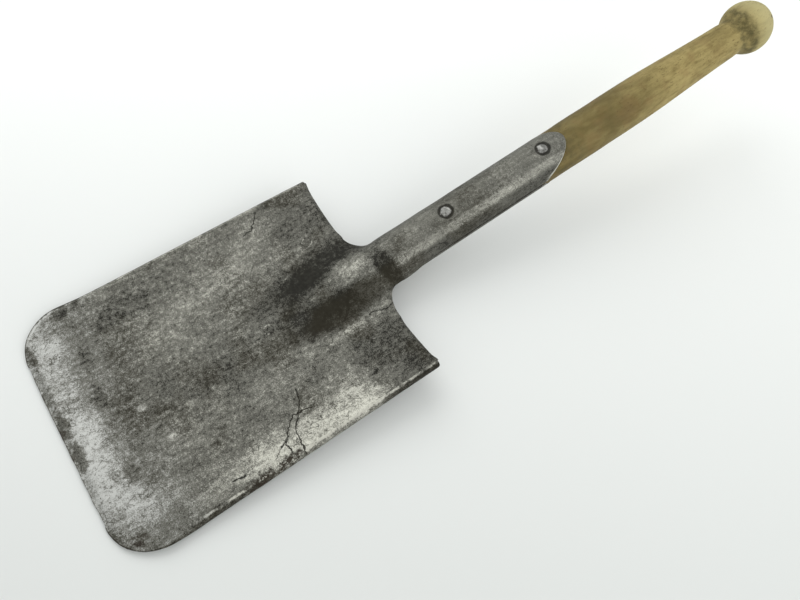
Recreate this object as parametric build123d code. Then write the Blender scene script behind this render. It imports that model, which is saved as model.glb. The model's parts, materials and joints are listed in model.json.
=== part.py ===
from build123d import *
import os
from math import atan2, cos, degrees, pi, radians, sin, sqrt

# Camp shovel with a fixed blade, lying on its back with the digging face up.
#
# It is drawn in the tool frame and laid down at the end. In the tool frame x runs from the
# cutting edge to the knob, y runs across the blade, and z stands up from the plane of the
# blade's two side crests. All lengths are in millimetres and all angles in degrees.

# Whole tool
OVERALL_LENGTH = 505.0
AXIS_SLOPE = 0.10             # rise of the handle per millimetre of length, over the blade plane
AXIS_DROP = 8.3               # depth of the handle's axis below the blade plane, at the neck

# Blade
BLADE_LENGTH = 187.5
CUTTING_WIDTH = 153.0
SHOULDER_WIDTH = 147.0
CORNER_RADIUS = 26.0
SHEET = 1.8
DISH_DEPTH = 7.0              # hollow of the digging face below its side crests
DISH_RUN = 95.0               # length in which the hollow deepens from the straight cutting edge
FLANGE_DEPTH = 5.0            # turned-down sides and shoulders, from the digging face
FLANGE_START = 24.0           # where the turned-down sides run out at the cutting corners
SHOULDER_SAG = 1.2            # hollow of each shoulder between its corner and the neck

# Frog: the swelling of the blade that holds the end of the handle
NECK = 201.0
FROG_TIP = 132.0
FROG_HALF_WIDTH = 31.0
NECK_CREASE = 1.2
NECK_FILLET = 13.0

# Socket straps, one drawn out of the blade and one riveted behind it
STRAP_OUTER = 14.3
STRAP_INNER = 12.5
STRAP_SEAM = 1.0              # gap between the two straps along each side
SOCKET_HEEL = NECK - 6.0      # end of the rear strap's round part, the lowest place of the tool
FRONT_TONGUE_TIP = 332.5
FRONT_TONGUE_LENGTH = 24.5
REAR_TONGUE_TIP = 328.0
REAR_TONGUE_LENGTH = 31.0

# Base plate of the rear strap
PLATE = 1.7
PLATE_GAP = 0.1
PLATE_TIP = 108.0
PLATE_HALF_WIDTH = 44.0
REAR_SWELL_TIP = 140.0
REAR_SWELL_HALF_WIDTH = 27.0

# Handle
GRIP_RADIUS = 14.2
GRIP_START = 340.0
GRIP_END = 382.0              # the grip is a true cylinder between these two
WAIST_RADIUS = 11.6           # thinnest place, just before the knob
WAIST = 468.0
KNOB_RADIUS = 16.7
KNOB_CHEEK = 128.0            # where the waist's hollow meets the knob, from the handle's end
NOSE_START = 150.0            # end of the wood inside the frog
NOSE_GAP = 0.3

# Rivets
SOCKET_RIVETS = {"socket_rivet_lower": 244.0, "socket_rivet_upper": 316.0}
SOCKET_SHANK = 2.6
SOCKET_HEAD = 3.6
SOCKET_HEAD_RISE = 1.6
DIMPLE_RADIUS = 5.4
DIMPLE_DEPTH = 0.9
FROG_RIVETS = {
    "frog_rivet_tip": (120.0, 0.0),
    "frog_rivet_front_left": (144.0, 25.0),
    "frog_rivet_front_right": (144.0, -25.0),
    "frog_rivet_rear_left": (167.0, 36.0),
    "frog_rivet_rear_right": (167.0, -36.0),
}
FROG_SHANK = 2.4
FROG_TAIL = 4.0
FROG_TAIL_RISE = 1.3

GRID = 3.0                    # spacing of the points that the formed sheets are drawn through


def ease(t):
    """Smooth step from 0 to 1."""
    t = min(max(t, 0.0), 1.0)
    return t * t * (3.0 - 2.0 * t)


def bell(s):
    """Rounded ridge: 1 on its crest, and level with its surroundings at s = 1."""
    return (1.0 - s * s) ** 2 if abs(s) < 1.0 else 0.0


def half_width(x):
    """Half the blade's width at x."""
    return (CUTTING_WIDTH + (SHOULDER_WIDTH - CUTTING_WIDTH) * x / BLADE_LENGTH) / 2.0


def axis_height(x):
    """Height of the handle's axis at x."""
    return AXIS_SLOPE * (x - NECK) - AXIS_DROP


def dish(x, y):
    """Digging face without the frog: level along its sides and its cutting edge."""
    run = 1.0 - max(0.0, 1.0 - x / DISH_RUN) ** 2
    return -DISH_DEPTH * run * (1.0 - (y / half_width(x)) ** 2)


def swell(x, y, tip, half_plan, rise, narrowing):
    """Height over the dish of a swelling with a rounded tip that runs out into the socket."""
    t = min(max((x - tip) / (NECK - tip), 0.0), 1.0)
    plan = half_plan * sqrt(1.0 - (1.0 - t) ** 2) * (1.0 - narrowing * ease((x - NECK) / 30.0 + 1.0))
    if plan < 0.5:
        return 0.0
    return rise * sin(pi / 2.0 * t) ** 1.25 * bell(y / plan)


def digging_face(x, y):
    """Front of the blade with the frog raised on it and the crease across its neck."""
    rise = axis_height(x) + STRAP_OUTER - dish(x, 0.0)
    crease = NECK_CREASE * bell((x - NECK + 8.0) / 9.0) * bell(y / 22.0)
    return dish(x, y) + swell(x, y, FROG_TIP, FROG_HALF_WIDTH, rise, 0.32) - crease


def plate_top(x, y):
    """Top of the rear strap's base plate, which lies against the back of the blade."""
    level = dish(x, y) - SHEET - PLATE_GAP
    rise = level - (axis_height(x) - STRAP_INNER)
    return level - swell(x, y, REAR_SWELL_TIP, REAR_SWELL_HALF_WIDTH, rise, 0.30)


def sheet(height, x0, x1, y1, thickness):
    """Formed sheet of a vertical thickness under a height formula, over a rectangle."""
    columns = round((x1 - x0) / GRID)
    rows = round(2.0 * y1 / GRID)
    points = []
    for i in range(columns + 1):
        x = x0 + (x1 - x0) * i / columns
        ys = [y1 * (2.0 * j / rows - 1.0) for j in range(rows + 1)]
        points.append([Vector(x, y, height(x, y)) for y in ys])
    skin = Face.make_surface_from_array_of_points(points, tol=0.02)
    return Solid.extrude(skin, Vector(0, 0, -thickness))


def prism(outline, low=-60.0, high=60.0):
    """Upright block over a plan outline."""
    return extrude(Pos(0, 0, low) * outline, high - low)


def mirrored(corners):
    """Closed run of corners: the +y half from the cutting end, then the -y half back."""
    return corners + [(x, -y) for x, y in reversed(corners)]


def blade_outline():
    """Plan of the blade from the cutting edge to the neck."""
    hw0 = CUTTING_WIDTH / 2.0
    hw1 = SHOULDER_WIDTH / 2.0
    left = (BLADE_LENGTH, hw1)
    left_neck = (BLADE_LENGTH, STRAP_OUTER)
    middle = (BLADE_LENGTH - SHOULDER_SAG, (hw1 + STRAP_OUTER) / 2.0)
    edges = [
        Line((0, -hw0), (0, hw0)),
        Line((0, hw0), left),
        ThreePointArc(left, middle, left_neck),
        Line(left_neck, (NECK + 2.0, STRAP_OUTER)),
    ]
    edges += [mirror(edge, Plane.XZ) for edge in edges[1:]]
    edges.append(Line((NECK + 2.0, STRAP_OUTER), (NECK + 2.0, -STRAP_OUTER)))
    plan = make_face(edges)
    plan = fillet(plan.vertices().filter_by_position(Axis.X, -1, 1), CORNER_RADIUS)
    corners = plan.vertices().filter_by_position(Axis.X, BLADE_LENGTH - 0.1, BLADE_LENGTH + 0.1)
    corners = [v for v in corners if abs(v.Y) > STRAP_OUTER + 1.0]
    plan = fillet(corners, 3.0)
    necks = plan.vertices().filter_by_position(Axis.Y, -STRAP_OUTER - 0.1, STRAP_OUTER + 0.1)
    necks = necks.filter_by_position(Axis.X, BLADE_LENGTH - 0.1, BLADE_LENGTH + 0.1)
    return fillet(necks, NECK_FILLET)


def tongue_outline(tip, length, start):
    """Plan of a strap: straight sides and a rounded tongue."""
    base = tip - length
    side = STRAP_OUTER + 1.0
    body = Pos((start + base) / 2.0, 0) * Rectangle(base - start, 2.0 * side)
    return body + Pos(base, 0) * Ellipse(length, side)


def on_axis(part):
    """Moves a part drawn about +x at the origin onto the handle's axis, in its x position."""
    lean = degrees(atan2(AXIS_SLOPE, 1.0))
    return Location((NECK, 0, axis_height(NECK)), (0, -lean, 0)) * Pos(-NECK, 0, 0) * part


def tube(start, end):
    """Round socket about the handle's axis, before it is parted into two straps."""
    length = end - start
    ring = Circle(STRAP_OUTER) - Circle(STRAP_INNER)
    return on_axis(Pos(start, 0, 0) * extrude(Plane.YZ * ring, length))


def half_space(front):
    """Block on the front or the rear side of the seam between the two straps."""
    lift = 20.0 + STRAP_SEAM / 2.0
    side = lift if front else -lift
    return on_axis(Pos(280.0, 0, side) * Box(400.0, 60.0, 40.0))


def socket_rivet(x):
    """Rivet through both straps and the wood, with a peened head in front and a tail behind."""
    reach = STRAP_OUTER - DIMPLE_DEPTH
    shank = Cylinder(SOCKET_SHANK, 2.0 * reach + 0.4)
    dome_radius = (SOCKET_HEAD ** 2 + SOCKET_HEAD_RISE ** 2) / (2.0 * SOCKET_HEAD_RISE)
    dome = Pos(0, 0, SOCKET_HEAD_RISE - dome_radius) * Sphere(dome_radius)
    head = dome & Pos(0, 0, 5.0) * Cylinder(10.0, 10.0)
    front = Pos(0, 0, reach) * head
    rear = Rot(180, 0, 0) * front
    return on_axis(Pos(x, 0, 0) * (shank + front + rear))


def rivet_dimples(x):
    """Hollows that the heads of a socket rivet are set down in, front and rear."""
    ball_radius = (DIMPLE_RADIUS ** 2 + DIMPLE_DEPTH ** 2) / (2.0 * DIMPLE_DEPTH)
    seat = Cylinder(SOCKET_HEAD + 0.2, 10.0)
    bowl = Pos(0, 0, ball_radius - DIMPLE_DEPTH) * Sphere(ball_radius)
    bowl = bowl & Pos(0, 0, 5.0 - DIMPLE_DEPTH) * Cylinder(DIMPLE_RADIUS + 0.6, 10.0)
    front = Pos(0, 0, STRAP_OUTER) * (bowl + Pos(0, 0, 5.0 - DIMPLE_DEPTH) * seat)
    return on_axis(Pos(x, 0, 0) * (front + Rot(180, 0, 0) * front))


def frog_rivet(x, y):
    """Rivet through the blade and the base plate, flush in front with a low tail behind."""
    top = digging_face(x, y) + 0.1
    bottom = plate_top(x, y) - PLATE
    shank = Pos(x, y, (top + bottom) / 2.0) * Cylinder(FROG_SHANK, top - bottom)
    dome_radius = (FROG_TAIL ** 2 + FROG_TAIL_RISE ** 2) / (2.0 * FROG_TAIL_RISE)
    dome = Pos(0, 0, dome_radius - FROG_TAIL_RISE) * Sphere(dome_radius)
    tail = dome & Pos(0, 0, -5.0) * Cylinder(10.0, 10.0)
    return shank + Pos(x, y, bottom) * tail


def flange_zone():
    """Plan region of the edges that are turned down: both sides and both shoulders."""
    keep = Pos((FLANGE_START + BLADE_LENGTH) / 2.0 + 10.0, 0) * Rectangle(
        BLADE_LENGTH - FLANGE_START + 20.0, 200.0)
    return keep - Pos(BLADE_LENGTH, 0) * Rectangle(40.0, 64.0)


def front_strap():
    """Front half of the socket, drawn out of the blade into a rounded tongue."""
    strap = tube(NECK - 10.0, FRONT_TONGUE_TIP + 2.0) & half_space(front=True)
    return strap & prism(tongue_outline(FRONT_TONGUE_TIP, FRONT_TONGUE_LENGTH, NECK - 12.0))


def rear_half_socket():
    """Rear half of the socket, with a longer and more pointed tongue."""
    strap = tube(SOCKET_HEEL, REAR_TONGUE_TIP + 2.0) & half_space(front=False)
    return strap & prism(tongue_outline(REAR_TONGUE_TIP, REAR_TONGUE_LENGTH, NECK - 8.0))


def make_blade(rivets):
    """Stamped sheet: dish, frog, turned-down edges and front strap in one piece."""
    outline = blade_outline()
    skin = sheet(digging_face, -6.0, NECK + 6.0, 84.0, SHEET) & prism(outline)
    inner = offset(outline, -SHEET)
    band = (outline - inner) & flange_zone()
    deep = sheet(digging_face, -6.0, NECK + 6.0, 84.0, FLANGE_DEPTH)
    flange = deep & prism(band)
    bore = on_axis(Pos(NECK + 40.0, 0, 0) * Rot(0, 90, 0) * Cylinder(STRAP_INNER, 90.0))
    blade = (skin + flange - bore) + front_strap()
    for x in SOCKET_RIVETS.values():
        blade -= rivet_dimples(x)
    for rivet in rivets:
        blade -= rivet
    return blade


def plate_outline():
    """Plan of the rear strap's base plate, widest across the frog's shoulders."""
    half = [
        (PLATE_TIP, 10.0),
        (161.0, PLATE_HALF_WIDTH),
        (179.0, PLATE_HALF_WIDTH),
        (187.0, STRAP_OUTER),
        (NECK + 2.0, STRAP_OUTER),
    ]
    plan = make_face(Polyline(*mirrored(half), close=True))
    plan = fillet(plan.vertices().filter_by_position(Axis.X, PLATE_TIP - 1, 162.0), 9.0)
    plan = fillet(plan.vertices().filter_by_position(Axis.X, 178.5, 179.5), 7.0)
    return fillet(plan.vertices().filter_by_position(Axis.X, 186.9, 187.1), 7.0)


def make_rear_strap(rivets):
    """Back half of the socket with the base plate that is riveted behind the blade."""
    plate = sheet(plate_top, 93.0, NECK + 6.0, 54.0, PLATE) & prism(plate_outline())
    bore = on_axis(Pos(NECK + 40.0, 0, 0) * Rot(0, 90, 0) * Cylinder(STRAP_INNER, 90.0))
    rear = (plate - bore) + rear_half_socket()
    for x in SOCKET_RIVETS.values():
        rear -= rivet_dimples(x)
    for rivet in rivets:
        rear -= rivet
    return rear


def make_handle(rivets):
    """Turned wooden handle: nose in the frog, round in the socket, grip, waist and knob."""
    knob = OVERALL_LENGTH - KNOB_RADIUS
    inner = STRAP_INNER - 0.1
    bare = REAR_TONGUE_TIP - REAR_TONGUE_LENGTH - 4.0
    swelling = GRIP_RADIUS - 0.2
    cheek = (knob + KNOB_RADIUS * cos(radians(KNOB_CHEEK)), KNOB_RADIUS * sin(radians(KNOB_CHEEK)))
    along_cheek = (sin(radians(KNOB_CHEEK)), -cos(radians(KNOB_CHEEK)))
    profile = [
        Line((NOSE_START, 0), (NOSE_START, inner)),
        Line((NOSE_START, inner), (bare, inner)),
        Line((bare, inner), (bare, swelling)),
        Spline([(bare, swelling), (GRIP_START, GRIP_RADIUS)], tangents=[(1, 0.004), (1, 0)]),
        Line((GRIP_START, GRIP_RADIUS), (GRIP_END, GRIP_RADIUS)),
        Spline([(GRIP_END, GRIP_RADIUS), (424.0, 12.9), (WAIST, WAIST_RADIUS)],
               tangents=[(1, 0), (1, -0.01)]),
        Spline([(WAIST, WAIST_RADIUS), cheek], tangents=[(1, -0.01), along_cheek]),
        ThreePointArc(cheek, (knob, KNOB_RADIUS), (OVERALL_LENGTH, 0)),
        Line((OVERALL_LENGTH, 0), (NOSE_START, 0)),
    ]
    turned = on_axis(revolve(make_face(profile), Axis.X))

    roof = Pos(0, 0, -SHEET - NOSE_GAP) * sheet(digging_face, 133.0, NECK + 6.0, 27.0, 60.0)
    floor = Pos(0, 0, 60.0 + NOSE_GAP) * sheet(plate_top, 133.0, NECK + 6.0, 27.0, 60.0)
    nose = turned & Pos((NECK + 133.0) / 2.0, 0, 0) * Box(NECK - 133.0, 80.0, 120.0)
    rest = turned & Pos(NECK + 200.0, 0, 0) * Box(400.0, 80.0, 120.0)
    handle = (nose & roof & floor) + rest
    for neighbour in [front_strap(), rear_half_socket()] + rivets:
        handle -= neighbour
    return handle


def resting_place(pieces):
    """Lays the tool down on its cutting edge and rear strap, centred over the origin."""
    edge = (0.0, -SHEET)
    heel = (SOCKET_HEEL, axis_height(SOCKET_HEEL) - STRAP_OUTER)
    lean = degrees(atan2(edge[1] - heel[1], heel[0] - edge[0]))
    turned = Rot(0, -lean, 0)
    boxes = [(turned * piece).bounding_box() for piece in pieces]
    low = min(box.min.Z for box in boxes)
    middle = (min(box.min.X for box in boxes) + max(box.max.X for box in boxes)) / 2.0
    return Pos(-middle, 0, -low) * turned


socket_rivets = {name: socket_rivet(x) for name, x in SOCKET_RIVETS.items()}
frog_rivets = {name: frog_rivet(x, y) for name, (x, y) in FROG_RIVETS.items()}
all_rivets = list(socket_rivets.values()) + list(frog_rivets.values())
blade = make_blade(all_rivets)
rear_strap = make_rear_strap(all_rivets)
handle = make_handle(list(socket_rivets.values()))

nodes = {"blade": blade, "rear_strap": rear_strap, "handle": handle}
nodes.update(socket_rivets)
nodes.update(frog_rivets)

os.makedirs("parts", exist_ok=True)
place = resting_place(nodes.values())
for name, piece in nodes.items():
    export_step(place * piece, f"parts/{name}.step")
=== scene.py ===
import json
import random
from functools import reduce
from math import atan, atan2, cos, pi, radians, sin, sqrt

import bpy
import numpy as np
from mathutils import Matrix, Vector, noise


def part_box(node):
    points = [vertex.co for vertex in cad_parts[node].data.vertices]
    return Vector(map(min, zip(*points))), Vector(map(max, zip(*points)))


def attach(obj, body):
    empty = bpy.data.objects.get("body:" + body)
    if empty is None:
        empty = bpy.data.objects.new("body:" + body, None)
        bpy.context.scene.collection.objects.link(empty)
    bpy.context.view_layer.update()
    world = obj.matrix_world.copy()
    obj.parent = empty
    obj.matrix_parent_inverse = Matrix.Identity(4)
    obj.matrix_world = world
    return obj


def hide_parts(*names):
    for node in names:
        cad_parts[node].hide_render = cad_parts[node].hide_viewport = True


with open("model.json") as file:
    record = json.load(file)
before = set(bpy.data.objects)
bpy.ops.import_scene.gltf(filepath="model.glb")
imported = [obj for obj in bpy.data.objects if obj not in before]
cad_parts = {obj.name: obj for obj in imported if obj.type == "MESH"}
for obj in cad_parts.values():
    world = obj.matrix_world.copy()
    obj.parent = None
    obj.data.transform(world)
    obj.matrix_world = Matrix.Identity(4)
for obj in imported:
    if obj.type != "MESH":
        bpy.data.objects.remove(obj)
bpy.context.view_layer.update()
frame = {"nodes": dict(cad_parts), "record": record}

# Camp shovel lying on its back with the digging face up.
#
# Shapes are worked out in the tool frame, in millimetres: x runs from the cutting edge to the
# knob, y across the blade, z up from the plane of the blade's side crests. to_row() lays them
# down in the row frame, in metres. The near side of the blade is the one at -y.

MM = 0.001

# Whole tool
OVERALL_LENGTH = 505.0
AXIS_SLOPE = 0.10             # rise of the handle per millimetre of length, over the blade plane
AXIS_ANGLE = atan(AXIS_SLOPE)
AXIS_DROP = 8.3               # depth of the handle's axis below the blade plane, at the neck

# Blade
BLADE_LENGTH = 187.5
CUTTING_WIDTH = 153.0
SHOULDER_WIDTH = 147.0
EDGE_SLOPE = (CUTTING_WIDTH - SHOULDER_WIDTH) / (2.0 * BLADE_LENGTH)
CORNER_RADIUS = 26.0
SHEET = 1.8
DISH_DEPTH = 7.0              # hollow of the digging face below its side crests
DISH_RUN = 95.0               # length in which the hollow deepens from the cutting edge
SHOULDER_SAG = 1.2            # hollow of each shoulder between its corner and the neck
DENTS = [(107, 20, 9, 0.35), (64, -38, 12, 0.4), (150, 48, 8, 0.3), (39, 30, 10, 0.3),
         (128, -52, 9, -0.3)]    # x, y, radius and depth

# Frog: the swelling of the blade that holds the end of the handle
NECK = 201.0
FROG_TIP = 132.0
FROG_HALF_WIDTH = 31.0
NECK_CREASE = 1.2
NECK_FILLET = 13.0

# Socket
STRAP_OUTER = 14.3
STRAP_EDGE = radians(90.5)    # half the angle that the front strap wraps round the wood
TONGUE_TIP = 332.5
TONGUE_LENGTH = 24.5
TONGUE_SIDE = 14.5
REAR_TONGUE_TIP = 328.0
REAR_TONGUE_LENGTH = 31.0

# Rivets
SOCKET_RIVETS = {"socket_rivet_lower": 244.0, "socket_rivet_upper": 316.0}
SOCKET_HEAD = 3.6
SOCKET_HEAD_RISE = 1.6
SOCKET_SHANK = 2.6
DIMPLE_RADIUS = 5.4
DIMPLE_DEPTH = 0.9
FROG_RIVETS = {
    "frog_rivet_tip": (120.0, 0.0),
    "frog_rivet_front_left": (144.0, 25.0),
    "frog_rivet_front_right": (144.0, -25.0),
    "frog_rivet_rear_left": (167.0, 36.0),
    "frog_rivet_rear_right": (167.0, -36.0),
}
FROG_HEAD = 2.7
FROG_SHANK = 2.3
FROG_TAIL = 4.0
FROG_TAIL_RISE = 1.3

# Handle
NOSE = [(166.0, 2.0), (167.0, 5.0), (172.0, 7.0), (180.0, 9.4), (190.0, 11.2), (200.0, 12.2),
        (210.0, 12.35)]       # station and radius of the wood inside the frog
SOCKET_WOOD = 12.35           # radius of the wood under the straps
GRIP_RADIUS = 14.2
GRIP_START = 340.0
GRIP_END = 382.0
WAIST = 468.0
WAIST_RADIUS = 11.6
WAIST_TAPER = -0.012          # slope of the handle's side at the grip's end and at the waist
KNOB_RADIUS = 16.7
KNOB_CENTRE = OVERALL_LENGTH - KNOB_RADIUS
KNOB_CHEEK = radians(128.0)   # where the waist's hollow meets the knob, from the handle's end
CHEEK = KNOB_CENTRE + KNOB_RADIUS * cos(KNOB_CHEEK)


def on_axis(x, across, up):
    """Point at station x along the handle's axis, and away from it across and upwards."""
    run = x - NECK
    return (NECK + run * cos(AXIS_ANGLE) - up * sin(AXIS_ANGLE), across,
            -AXIS_DROP + run * sin(AXIS_ANGLE) + up * cos(AXIS_ANGLE))


# Where the tool lies: its lean comes from the grip's axis, its place from the knob.
grip_axis = frame["record"]["mounts"][0]["axis"]
LEAN = atan2(grip_axis[2], grip_axis[0]) - AXIS_ANGLE
TURN = Matrix.Rotation(-LEAN, 3, "Y")
handle_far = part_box("handle")[1]
SHIFT = Vector((handle_far.x - KNOB_RADIUS * MM, 0.0, handle_far.z - KNOB_RADIUS * MM))
SHIFT -= (TURN @ Vector(on_axis(KNOB_CENTRE, 0.0, 0.0))) * MM


def to_row(points):
    """Tool frame in millimetres to row frame in metres, for an array of points."""
    return points @ np.array(TURN).T * MM + np.array(SHIFT)


def ease(t):
    """Smooth step from 0 to 1."""
    t = min(max(t, 0.0), 1.0)
    return t * t * (3.0 - 2.0 * t)


def bell(s):
    """Rounded ridge: 1 on its crest, and level with its surroundings at s = 1."""
    return (1.0 - s * s) ** 2 if abs(s) < 1.0 else 0.0


def half_width(x):
    """Half the blade's width at x."""
    return (CUTTING_WIDTH + (SHOULDER_WIDTH - CUTTING_WIDTH) * x / BLADE_LENGTH) / 2.0


def axis_height(x):
    """Height of the handle's axis at x."""
    return AXIS_SLOPE * (x - NECK) - AXIS_DROP


def dish(x, y):
    """Digging face without the frog: level along its sides and its cutting edge."""
    run = 1.0 - max(0.0, 1.0 - x / DISH_RUN) ** 2
    return -DISH_DEPTH * run * (1.0 - (y / half_width(x)) ** 2)


def digging_face(x, y):
    """Front of the blade with the frog raised on it and the crease across its neck."""
    t = min(max((x - FROG_TIP) / (NECK - FROG_TIP), 0.0), 1.0)
    narrowing = 1.0 - 0.32 * ease((x - NECK) / 30.0 + 1.0)
    plan = max(FROG_HALF_WIDTH * sqrt(1.0 - (1.0 - t) ** 2) * narrowing, 0.5)
    rise = axis_height(x) + STRAP_OUTER - dish(x, 0.0)
    frog = rise * sin(pi / 2.0 * t) ** 1.25 * bell(y / plan)
    crease = NECK_CREASE * bell((x - NECK + 8.0) / 9.0) * bell(y / 22.0)
    return dish(x, y) + frog - crease


def wobble(p, size, seed):
    """Smooth unevenness between -1 and 1 with lumps of about the given size."""
    return noise.noise(Vector((p[0] / size + seed, p[1] / size - seed, p[2] / size + 2 * seed)))


def beaten(p):
    """Unevenness of the beaten sheet, in millimetres."""
    return 0.30 * wobble(p, 46.0, 3.7) + 0.16 * wobble(p, 19.0, 8.1) + 0.06 * wobble(p, 7.0, 5.5)


def dented(x, y):
    """Depth of the dents at a place on the blade."""
    return sum(depth * bell(sqrt((x - dent_x) ** 2 + (y - dent_y) ** 2) / radius)
               for dent_x, dent_y, radius, depth in DENTS)


def mesh_piece(name, points, faces, material, node, smooth=True):
    """Mesh object from tool-frame points that stands for a CAD node on the shovel's one body."""
    mesh = bpy.data.meshes.new(name)
    mesh.from_pydata([tuple(p) for p in to_row(np.array(points, float))], [], faces)
    mesh.update()
    if smooth:
        mesh.shade_smooth()
    else:
        mesh.shade_flat()
    mesh.materials.append(material)
    piece = bpy.data.objects.new(name, mesh)
    bpy.context.scene.collection.objects.link(piece)
    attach(piece, "root")
    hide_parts(node)
    return piece


# ---- shader trees

def plug(tree, value, socket):
    """Feeds a wire, a number or a colour into a socket."""
    if isinstance(value, Wire):
        tree.links.new(value.socket, socket)
    else:
        socket.default_value = value


def new_wire(tree, kind, inputs, output=0, **settings):
    """Adds a shader node with its settings and inputs, and returns one output of it."""
    node = tree.nodes.new("ShaderNode" + kind)
    for name, value in settings.items():
        setattr(node, name, value)
    for name, value in inputs.items():
        plug(tree, value, node.inputs[name])
    return Wire(tree, node.outputs[output])


def calculate(operation, *values, clamp=False):
    """Math node over wires and numbers."""
    tree = next(value.tree for value in values if isinstance(value, Wire))
    return new_wire(tree, "Math", dict(enumerate(values)), operation=operation, use_clamp=clamp)


class Wire:
    """Output of a shader node that arithmetic can be written with."""

    def __init__(self, tree, socket):
        self.tree = tree
        self.socket = socket

    def __add__(self, other):
        return calculate("ADD", self, other)

    def __sub__(self, other):
        return calculate("SUBTRACT", self, other)

    def __rsub__(self, other):
        return calculate("SUBTRACT", other, self)

    def __mul__(self, other):
        return calculate("MULTIPLY", self, other)

    def __truediv__(self, other):
        return calculate("DIVIDE", self, other)

    __radd__ = __add__

    def abs(self):
        return calculate("ABSOLUTE", self)

    def fraction(self):
        return calculate("FRACT", self)

    def power(self, exponent):
        return calculate("POWER", self, exponent)

    def least(self, other):
        return calculate("MINIMUM", self, other)

    def most(self, other):
        return calculate("MAXIMUM", self, other)

    def kept(self):
        """This, kept between 0 and 1."""
        return calculate("ADD", self, 0.0, clamp=True)

    def flip(self):
        """1 minus this, kept between 0 and 1."""
        return calculate("SUBTRACT", 1.0, self, clamp=True)

    def smooth(self, start, end):
        """Smooth step: 0 at start, 1 at end, whichever is the larger."""
        if start < end:
            limits = (start, end, 0.0, 1.0)
        else:
            limits = (end, start, 1.0, 0.0)
        return new_wire(self.tree, "MapRange", dict(enumerate((self, *limits))),
                        interpolation_type="SMOOTHSTEP")

    def window(self, start, end, soft):
        """1 between start and end, falling to 0 over the soft length outside them."""
        return self.smooth(start - soft, start) * self.smooth(end + soft, end)


def colour(red, green, blue):
    return red, green, blue, 1.0


class Paint:
    """A material under construction, with its coordinates in the tool frame in millimetres."""

    def __init__(self, name):
        self.material = bpy.data.materials.new(name)
        self.material.use_nodes = True
        self.tree = self.material.node_tree
        self.shader = next(n for n in self.tree.nodes if n.type == "BSDF_PRINCIPLED")
        # row frame in metres -> tool frame in millimetres: scaled, moved, then turned back
        moved = self.mapping(new_wire(self.tree, "TexCoord", {}, output="Object"),
                             scale=(1.0 / MM,) * 3, location=-SHIFT / MM)
        self.here = self.mapping(moved, turn=LEAN)
        self.x, self.y, _ = self.split(self.here)

    def mapping(self, vector, scale=(1.0, 1.0, 1.0), location=(0.0, 0.0, 0.0), turn=0.0):
        """Vector scaled, turned about y and moved."""
        return new_wire(self.tree, "Mapping", {"Vector": vector, "Scale": scale,
                        "Location": location, "Rotation": (0.0, turn, 0.0)})

    def split(self, vector):
        first = new_wire(self.tree, "SeparateXYZ", {0: vector})
        return [Wire(self.tree, output) for output in first.socket.node.outputs]

    def join(self, x, y, z):
        return new_wire(self.tree, "CombineXYZ", {0: x, 1: y, 2: z})

    def noise(self, size, detail, roughness, seed, vector=None, distortion=0.0):
        """Cloudy noise about 0.5, with lumps of the given size in millimetres."""
        inputs = {"Vector": vector or self.here, "W": seed, "Scale": 1.0 / size,
                  "Detail": detail, "Roughness": roughness, "Distortion": distortion}
        return new_wire(self.tree, "TexNoise", inputs, noise_dimensions="4D")

    def swing(self, size, detail, roughness, seed, vector=None):
        """The same noise about 0, for what goes up and down."""
        return self.noise(size, detail, roughness, seed, vector) - 0.5

    def cell_edges(self, size, vector):
        """How near the edge of an irregular cell is, for cells of a size in millimetres."""
        return new_wire(self.tree, "TexVoronoi", {"Vector": vector, "Scale": 1.0 / size},
                        output="Distance", feature="DISTANCE_TO_EDGE")

    def vector(self, operation, *values, output=0):
        return new_wire(self.tree, "VectorMath", dict(enumerate(values)), output,
                        operation=operation)

    def scaled(self, vector, factor):
        return new_wire(self.tree, "VectorMath", {0: vector, "Scale": factor}, operation="SCALE")

    def spot(self, x, y, reach_x, reach_y, warp=None, turn=0.0):
        """Distance from a place on the blade, as 1 on an ellipse of the given reaches."""
        dx = self.x - x
        dy = self.y - y
        if turn:
            dx, dy = dx * cos(turn) + dy * sin(turn), dy * cos(turn) - dx * sin(turn)
        dx = dx / reach_x
        dy = dy / reach_y
        distance = (dx * dx + dy * dy).power(0.5)
        return distance + warp if warp is not None else distance

    def line(self, a, b, flat):
        """Distance in millimetres from the segment a-b, over a warped plan position."""
        a = Vector((*a, 0.0))
        b = Vector((*b, 0.0))
        along = b - a
        offset = self.vector("SUBTRACT", flat, a)
        part = self.vector("DOT_PRODUCT", offset, along / along.length_squared, output=1)
        foot = self.scaled(along, part.most(0.0).least(1.0))
        gap = self.vector("SUBTRACT", offset, foot)
        return self.vector("LENGTH", gap, output=1)

    def mix(self, amount, a, b):
        return new_wire(self.tree, "Mix", {0: amount, 6: a, 7: b}, output=2, data_type="RGBA")

    def bump(self, height, distance):
        """Bump from a height times a distance in millimetres."""
        return new_wire(self.tree, "Bump", {"Height": height, "Distance": distance * MM,
                        "Strength": 1.0})

    def finish(self, base, roughness, normal, metallic, **constants):
        """The material, with what feeds its shader and what is the same all over it."""
        inputs = {"Base Color": base, "Roughness": roughness, "Normal": normal,
                  "Metallic": metallic, **constants}
        for name, value in inputs.items():
            plug(self.tree, value, self.shader.inputs[name])
        return self.material


# ---- steel

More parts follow.
